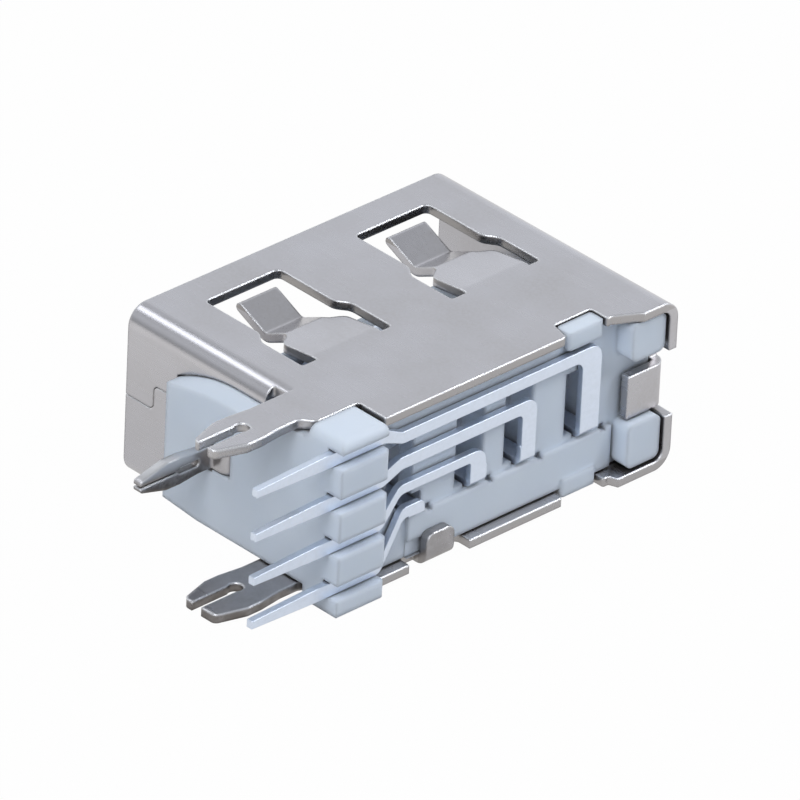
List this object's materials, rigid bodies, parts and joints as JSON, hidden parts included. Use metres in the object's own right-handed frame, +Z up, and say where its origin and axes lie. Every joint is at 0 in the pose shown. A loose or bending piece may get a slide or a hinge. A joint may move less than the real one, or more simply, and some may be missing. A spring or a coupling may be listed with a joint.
{
  "type": "usb-a socket",
  "caption": "Side-entry socket for a flat rectangular plug: folded steel shell with springs and board legs, insulating body with tongue and comb, and formed contacts with straight tails.",
  "frame": {"origin": "middle of the flat face of the insulating body that seats on the circuit board, level with the middle of the shell", "axes": "+X out of the board face, the way the legs and tails point; -Y out of the plug mouth; +Z up, out of one wide face of the shell, with the tongue in the lower half"},
  "size_m": [0.0168, 0.01, 0.0059],
  "materials": {
    "shell_steel": "satin nickel plate",
    "housing_plastic": "satin moulded",
    "contact_tin": "matt tin plate"
  },
  "bodies": {
    "root": {"shell": "shell_steel", "housing": "housing_plastic", "contact_1": "contact_tin", "contact_2": "contact_tin", "contact_3": "contact_tin", "contact_4": "contact_tin"}
  },
  "joints": []
}
